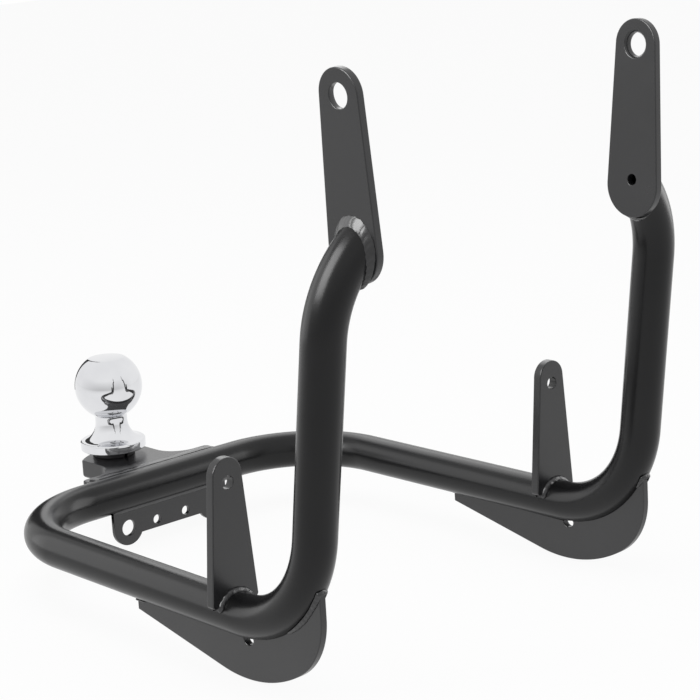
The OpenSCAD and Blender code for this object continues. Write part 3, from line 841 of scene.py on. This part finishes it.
def round_end(length, back_length, half_width, count):
    """A U in the plane: straight along the outer side, round the end as (bulge cos a,
    half width sin a) and straight back along the inner side. Its outward directions
    are sideways on the straights and (cos a, sin a) on the round."""
    run, run_back = np.linspace(-length, 0, count), np.linspace(0, -back_length, count)
    angle = np.linspace(-np.pi / 2, np.pi / 2, count)[1:-1]
    u = np.concatenate([run, END_BULGE * np.cos(angle), run_back])
    v = np.concatenate([-half_width + 0 * run, half_width * np.sin(angle), half_width + 0 * run])
    out_u = np.concatenate([0 * run, np.cos(angle), 0 * run])
    out_v = np.concatenate([-1 + 0 * run, np.sin(angle), 1 + 0 * run])
    return u, v, out_u, out_v


u, v, out_u, out_v = round_end(STITCH, STITCH, GUSSET_T / 2, 20)
under = -np.sqrt(TUBE_R ** 2 - v ** 2)
rear_path = np.stack([gusset_x + v, REACH + u, under], -1)
rear_out = np.stack([out_v, out_u, 0 * u], -1)
rear_stitch = bead(rear_path, steady((0, 0, -1), len(u)), rear_out, REAR_BEAD,
                   coin=3.0, seed=6, taper=3.0, ripple=0.05)
u, v, out_u, out_v = round_end(TIP_STITCH, STITCH, GUSSET_T / 2, 80)
under = -np.sqrt(TUBE_R ** 2 - v ** 2)
bend_turn = np.radians(top_turn) + u / (BEND_R + TUBE_R)
spoke = np.stack([0 * bend_turn, -np.sin(bend_turn), -np.cos(bend_turn)], -1)
onward = np.stack([0 * bend_turn, -np.cos(bend_turn), np.sin(bend_turn)], -1)
tip_path = (np.array([gusset_x, FRONT_TAN, BEND_R]) + (BEND_R - under)[:, None] * spoke
            + v[:, None] * [1.0, 0, 0])
tip_out = out_v[:, None] * [1.0, 0, 0] + out_u[:, None] * onward
tip_stitch = bead(tip_path, spoke, tip_out, TIP_BEAD, coin=3.2, seed=8, taper=14.0,
                  ripple=0.10, flat=1.3)
add_pair("gusset_bead", rear_stitch + tip_stitch, coat_weld, "gusset_weld")

# %% Welds along the cross tube
TONGUE_BEAD, CHAIN_BEAD, CROSS_STEPS = 3.3, 1.8, 260


def cross_bead(y, z, along_plate, half_length, size, seed, reach=1.0):
    """A straight bead along X in the corner between a plate and the cross tube. It
    reaches `reach` times as far along the plate as it is high."""
    x = np.linspace(-half_length, half_length, CROSS_STEPS)
    path = np.stack([x, ARM_LEN + y + 0 * x, z + 0 * x], -1)
    radius_way = np.array([0, y, z]) / TUBE_R
    tube_way = -(along_plate - (along_plate @ radius_way) * radius_way)
    tube_way /= np.linalg.norm(tube_way)
    return bead(path, steady(along_plate * reach, CROSS_STEPS), steady(tube_way, CROSS_STEPS),
                size, coin=4.2, seed=seed, taper=7.0, ripple=0.05, flat=1.3)


TONGUE_LOW = TONGUE_TOP - TONGUE_T
back_way, down_way = np.array([0, 1.0, 0]), np.array([0, 0, -1.0])


def on_skin(height):
    """How far the tube's skin is from its middle plane at a height: the square root of
    radius squared less height squared."""
    return np.sqrt(TUBE_R ** 2 - height ** 2)


tongue_half, chain_half, rear_face = half - 1, lobe + LOBE_R - 1, CHAIN_T - AHEAD
tongue_welds = (
    cross_bead(on_skin(TONGUE_TOP), TONGUE_TOP, back_way, tongue_half, TONGUE_BEAD, 11, 2.6)
    + cross_bead(on_skin(TONGUE_LOW), TONGUE_LOW, back_way, tongue_half, TONGUE_BEAD, 12, 1.3))
add_piece("platform_bead", tongue_welds, coat_weld, "tongue_weld")
chain_welds = (
    cross_bead(-AHEAD, -on_skin(AHEAD), down_way, chain_half, CHAIN_BEAD, 13)
    + cross_bead(rear_face, -on_skin(rear_face), down_way, chain_half, CHAIN_BEAD, 14))
add_piece("chain_bead", chain_welds, coat_weld, "chain_plate_weld")

# %% [markdown]
# ## The ball
#
# A hitch ball is turned from one bar: a ball with a flat on top, a neck that flares
# into a flange, and a threaded shank. So its surface is one profile spun round the
# axis. The thread is the same idea with a profile that climbs as it goes round.

# %% The turned profile
BALL_R, FLAT_R, FLAT_ROUND, NECK_R, COVE_R, COVE_H = 23.8, 12.5, 1.0, 11.3, 10.8, 14.0
FLANGE_R, FLANGE_T, RIM_R, FOOT_R, POLE_R = 23.0, 6.4, 1.1, 0.8, 0.001
FLAT_BLEND_DEG, NECK_FLARE, NECK_DROP = 1.2, 0.4, 1.8
SHANK_R, SHANK_LEN, PITCH, THREAD = 9.5, 38.0, 2.54, 1.0
BALL_Z = FLANGE_Z + BALL_H
around = np.linspace(0, 2 * np.pi, 192, endpoint=False)


def spin(radius, height):
    """Rings round the ball's axis: (r cos a, r sin a, h). Both may vary with a."""
    grid = np.stack([radius * np.cos(around), BALL_Y + radius * np.sin(around),
                     height + 0 * around], -1)
    return grid, quads(*grid.shape[:2], closed_columns=True)


flat_deg = np.degrees(np.arccos(FLAT_R / BALL_R))
neck_deg = -np.degrees(np.arccos((NECK_R + NECK_FLARE) / BALL_R))
cove_z = FLANGE_Z + FLANGE_T
flat_z = BALL_R * np.sin(np.radians(flat_deg))
profile = np.concatenate([
    [[POLE_R, flat_z], [FLAT_R - FLAT_ROUND, flat_z]],
    arc(0, 0, BALL_R, flat_deg - FLAT_BLEND_DEG, neck_deg, 90)]) + [0, BALL_Z]
fillet_z = profile[-1, 1]
lower = np.concatenate([
    [[NECK_R + NECK_FLARE / 4, fillet_z - NECK_DROP / 2], [NECK_R, fillet_z - NECK_DROP]],
    arc(0, 0, 1, 180, 266, 30) * [COVE_R, COVE_H] + [NECK_R + COVE_R, cove_z + COVE_H],
    arc(FLANGE_R - RIM_R, cove_z - RIM_R, RIM_R, 84, 0, 8),
    arc(FLANGE_R - FOOT_R, FLANGE_Z + FOOT_R, FOOT_R, 0, -90, 8),
    [[SHANK_R, FLANGE_Z]]])
profile = np.concatenate([profile, lower])
body = spin(profile[:, :1], profile[:, 1:])

# %% The thread and its tip
TIP_H, PLAIN_LEN, RUN_OUT, FLANK, CREST = 1.2, 12, 3, 1.25, 0.12
thread_z = np.linspace(FLANGE_Z, FLANGE_Z - SHANK_LEN + TIP_H, 170)[:, None]
climb = (thread_z / PITCH - around / (2 * np.pi)) % 1.0
groove = THREAD * np.clip(np.abs(2 * climb - 1) * FLANK - CREST, 0, 1)
groove *= np.clip((FLANGE_Z - PLAIN_LEN - thread_z) / RUN_OUT, 0, 1)
thread_r = SHANK_R - groove
tip_r = np.array([[1.0], [0.82], [0.0001]]) * thread_r[-1]
tip_z = thread_z[-1] - np.array([[0.0], [TIP_H], [TIP_H]])
add_piece("tow_ball", [body, spin(thread_r, thread_z), spin(tip_r, tip_z)], chrome, "hitch_ball",
          weighted=False)

# %% [markdown]
# ## Spring ring and nut
#
# The spring ring is one turn of square wire, cut with a slant. Tightening the nut
# presses it flat, so only the slanted slit shows where its ends meet. The nut is a
# hexagon whose corners are turned off by a cone at both ends, which leaves the curved
# edges that every nut has.

# %% The spring ring
RING_IN, RING_OUT, WIRE_H, SLANT, corner = 10.3, 14.9, 4.74, 0.12, 0.45
section = np.concatenate([arc(RING_OUT - corner, WIRE_H - corner, corner, 0, 90, 5),
                          arc(RING_IN + corner, WIRE_H - corner, corner, 90, 180, 5),
                          arc(RING_IN + corner, corner, corner, 180, 270, 5),
                          arc(RING_OUT - corner, corner, corner, 270, 360, 5)])
sweep = np.radians(np.linspace(-85, 265, 160))[:, None]
lift = (sweep - sweep[0]) / (sweep[-1] - sweep[0]) * (WASHER_T - WIRE_H)
slanted = sweep + SLANT * (section[:, 1] / WIRE_H - 0.5)
wire = np.stack([section[:, 0] * np.cos(slanted), BALL_Y + section[:, 0] * np.sin(slanted),
                 TONGUE_TOP + section[:, 1] + lift], -1)
loop = np.arange(len(section))[None]
add_piece("spring_ring", [(wire, quads(*wire.shape[:2], closed_columns=True)),
                          (wire[0], loop[:, ::-1]), (wire[-1], loop)], spring, "lock_washer")

# %% The nut
NUT_FLATS, NUT_H, NUT_CHAMFER, CROWN, MOUTH = 28.6, 16.3, 1.6, 3, 1.0
hexagon = NUT_FLATS / 2 / np.cos((around + np.pi / 6) % (np.pi / 3) - np.pi / 6)
rise_z = np.concatenate([np.linspace(0, CROWN, 12), [NUT_H / 2],
                         np.linspace(NUT_H - CROWN, NUT_H, 12)])[:, None]
cone = NUT_FLATS / np.sqrt(3) - NUT_CHAMFER + np.minimum(rise_z, NUT_H - rise_z)
nut_skin = spin(np.minimum(hexagon, cone), TONGUE_LOW - NUT_H + rise_z)
mouth_r = SHANK_R + np.array([[MOUTH], [0.0], [0.0], [MOUTH]])
mouth_z = TONGUE_LOW - np.array([[NUT_H], [NUT_H - MOUTH], [MOUTH], [0.0]])
bore = spin(mouth_r, mouth_z)
caps = [(np.stack([nut_skin[0][end], bore[0][end]]), quads(2, len(around), closed_columns=True))
        for end in (0, -1)]
add_piece("hex_nut", [nut_skin, bore, *caps], zinc, "shank_nut")

# %% [markdown]
# ## Floor, light and camera
#
# The part is a dark object in a white studio. What shapes it is what it reflects:
# white all round, and a dimmer patch on the camera's side, which draws the soft dark
# stripe down the middle of every tube. The lamps are large, so shadows stay soft.
# Four sheen lamps shine on coated pieces only and lend them the soft streaks and pale
# rims that satin powder coat has. Two dark cards give the ball something to reflect.

# %% Floor and world
DIM_WAY, GLOSS_DIM, DIM_LEAST = (-0.72, -0.69, 0.0), 0.31, 0.08
FLOOR_SIZE, FLOOR_GAP, FLOOR_WHITE, SKY_LIGHT = 8, 0.0002, 0.93, 0.42


def dimmed(facing):
    """How much of the dimming applies, from the cosine to the camera's side."""
    return DIM_LEAST + (1 - DIM_LEAST) * facing.between(-0.1, 0.95)


def dot(tree, vector, way):
    """The dot product of a wire and a fixed direction."""
    return node(tree, "ShaderNodeVectorMath", {"operation": "DOT_PRODUCT"},
                {0: vector, 1: way}).out("Value")


floor_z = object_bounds()[0][2] - FLOOR_GAP
bpy.ops.mesh.primitive_plane_add(size=FLOOR_SIZE, location=(0, 0, floor_z))
floor = bpy.context.object
floor.name = "studio_floor"
floor_material, tree, shader, _ = new_material("studio_floor")
shader.inputs["Base Color"].default_value = (0.86, 0.86, 0.865, 1)
shader.inputs["Roughness"].default_value = 0.9
rays = node(tree, "ShaderNodeLightPath", {}, {})
glossy = rays.out("Is Glossy Ray")
seen = (rays.out("Is Camera Ray") + glossy + rays.out("Is Transmission Ray")) * FLOOR_WHITE
spot = node(tree, "ShaderNodeTexCoord", {}, {}).out("Object")
distance = node(tree, "ShaderNodeVectorMath", {"operation": "LENGTH"}, {0: spot}).out("Value")
far_dim = dimmed(dot(tree, spot, DIM_WAY) / (distance + 0.01)) * distance.between(0.35, 1.3)
glow = 1.0 - glossy * GLOSS_DIM * far_dim
white = node(tree, "ShaderNodeEmission", {}, {"Color": (1, 1, 1, 1), "Strength": glow})
mixed = node(tree, "ShaderNodeMixShader", {}, {0: seen})
tree.links.new(shader.outputs[0], mixed.made.inputs[1])
tree.links.new(white.made.outputs[0], mixed.made.inputs[2])
tree.links.new(mixed.made.outputs[0], tree.nodes["Material Output"].inputs[0])
floor.data.materials.append(floor_material)

world = bpy.data.worlds.new("studio")
world.use_nodes = True
bpy.context.scene.world = world
tree = world.node_tree
rays = node(tree, "ShaderNodeLightPath", {}, {})
way = node(tree, "ShaderNodeTexCoord", {}, {}).out("Generated")
height = node(tree, "ShaderNodeSeparateXYZ", {}, {0: way}).out("Z")
band = (1.0 - height.math("ABSOLUTE").between(0.0, 0.45)) * dimmed(dot(tree, way, DIM_WAY))
strength = (rays.out("Is Camera Ray") + rays.out("Is Transmission Ray")
            + rays.out("Is Glossy Ray") * (1.0 - GLOSS_DIM * band)
            + rays.out("Is Diffuse Ray") * SKY_LIGHT)
background = tree.nodes["Background"]
background.inputs["Color"].default_value = (1, 1, 1, 1)
tree.links.new(strength.socket, background.inputs["Strength"])
print("floor at", round(floor_z, 4))

# %% Lamps
def lamp(name, place, aim, size, power):
    """A square lamp at a place, turned to its aim, that reflections don't show."""
    data = bpy.data.lights.new(name, "AREA")
    data.shape, data.size, data.energy = "SQUARE", size, power
    made = bpy.data.objects.new(name, data)
    made.location = place
    made.rotation_euler = (Vector(aim) - Vector(place)).to_track_quat("-Z", "Y").to_euler()
    made.visible_glossy = False
    bpy.context.scene.collection.objects.link(made)
    return made


MIDDLE = (0.0, -0.2, 0.05)
lamp("top_box", (-0.1, -0.1, 1.6), MIDDLE, 1.4, 14.0)
lamp("left_box", (-1.7, 0.7, 0.7), MIDDLE, 1.2, 9.0)
lamp("right_box", (1.0, -1.8, 0.8), MIDDLE, 1.2, 7.0)
for sheen, receivers in (
        (lamp("sheen_box", (-1.25, 0.0, 1.0), MIDDLE, 1.0, 29.0), coated),
        (lamp("rim_box", (1.0, 1.05, 1.15), MIDDLE, 1.2, 6.2), coated),
        (lamp("left_strip", (-0.72, 0.62, 0.4), (-0.13, -0.3, 0.2), 1.0, 3.8), rounded),
        (lamp("right_strip", (1.1, -0.75, 0.4), (-0.1, -0.35, 0.2), 1.0, 7.0), rounded)):
    sheen.visible_glossy, sheen.visible_diffuse = True, False
    sheen.visible_camera = False
    sheen.light_linking.receiver_collection = receivers
print("lamps:", len(bpy.data.lights))

# %% Dark cards behind the ball, seen in reflections only
card_material, tree, shader, _ = new_material("studio_card")
shader.inputs["Base Color"].default_value = (0.02, 0.02, 0.02, 1)
for name, place, turn, size in (("far_card", (0.29, 1.17, 0.35), -14, (0.26, 1.3, 1)),
                                ("near_card", (0.10, 0.34, 0.21), -16, (0.075, 0.6, 1))):
    bpy.ops.mesh.primitive_plane_add(size=1, location=place,
                                     rotation=(np.pi / 2, 0, np.radians(turn)))
    card = bpy.context.object
    card.name, card.scale = name, size
    for ray in ("camera", "diffuse", "shadow", "transmission"):
        setattr(card, "visible_" + ray, False)
    card.data.materials.append(card_material)
print("cards in reflections: far_card, near_card")

# %% The camera
FOCAL_PX, FRAME_PX, SENSOR_MM = 2270.5, 700, 36.0
EYE = np.array([-905.7, -911.1, 452.3]) + HOME
RIGHT, UP = np.array([0.7369, -0.6736, -0.0564]), np.array([0.1995, 0.1370, 0.9703])
camera_data = bpy.data.cameras.new("camera")
camera_data.sensor_width = SENSOR_MM
camera_data.lens = SENSOR_MM * FOCAL_PX / FRAME_PX
camera = bpy.data.objects.new("camera", camera_data)
turned = Matrix((RIGHT, UP, np.cross(RIGHT, UP))).transposed().to_4x4()
camera.matrix_world = Matrix.Translation(Vector(EYE * MM)) @ turned
bpy.context.scene.collection.objects.link(camera)
bpy.context.scene.camera = camera
bpy.context.scene.view_settings.view_transform = "Standard"
print("lens", round(camera_data.lens, 2), "mm")

# %% The end
bpy.context.view_layer.update()
